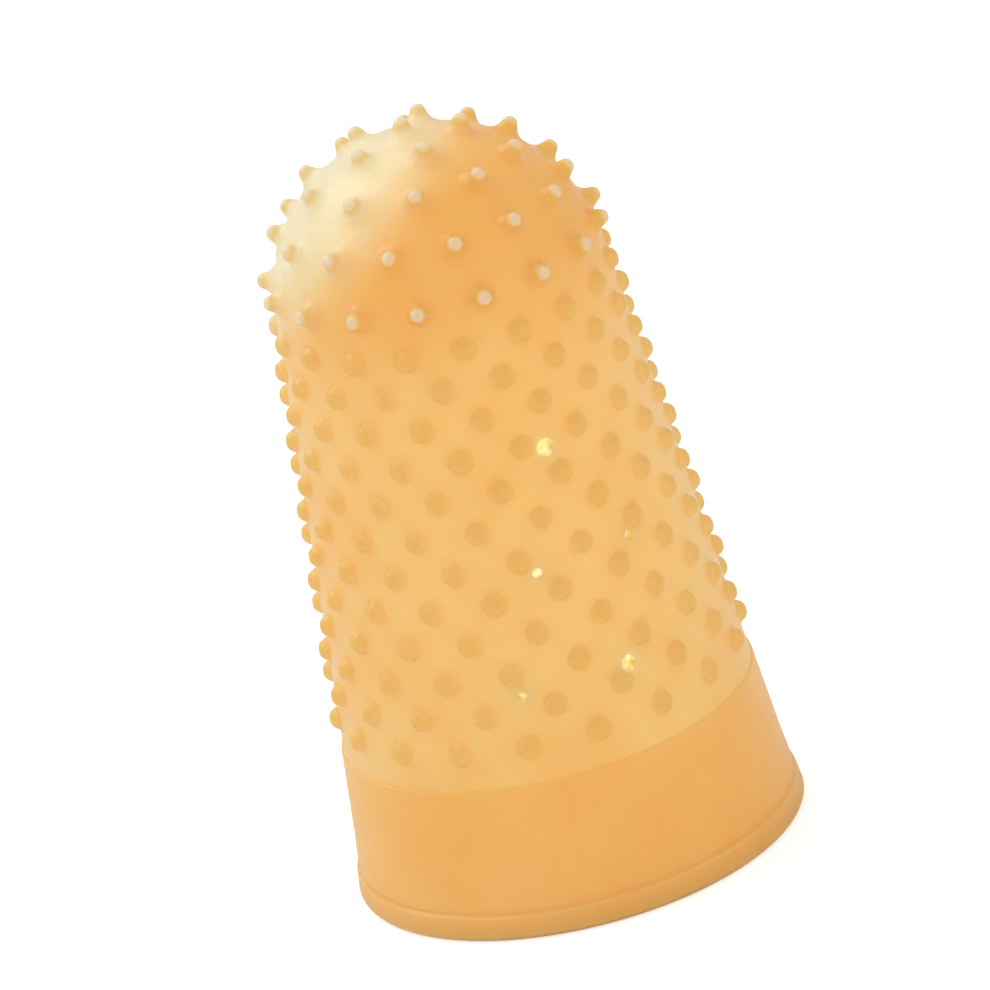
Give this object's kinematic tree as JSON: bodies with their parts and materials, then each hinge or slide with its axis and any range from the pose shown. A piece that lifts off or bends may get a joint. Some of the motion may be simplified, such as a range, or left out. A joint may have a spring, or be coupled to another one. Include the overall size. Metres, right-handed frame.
{
  "type": "finger cot",
  "caption": "Thimble-shaped rubber finger cot with a smooth cuff, low nubs around the wall, taller nubs on the closed tip and a few small air holes.",
  "frame": {"origin": "centre of the open mouth, on the plane that its rim rests on", "axes": "+Z along the sleeve's axis, from the mouth to the closed tip; -Y is the front, where the air holes are"},
  "size_m": [0.0222, 0.0222, 0.0383],
  "materials": {
    "amber_rubber": "satin translucent natural rubber"
  },
  "bodies": {
    "root": {"finger_cot": "amber_rubber"}
  },
  "joints": []
}
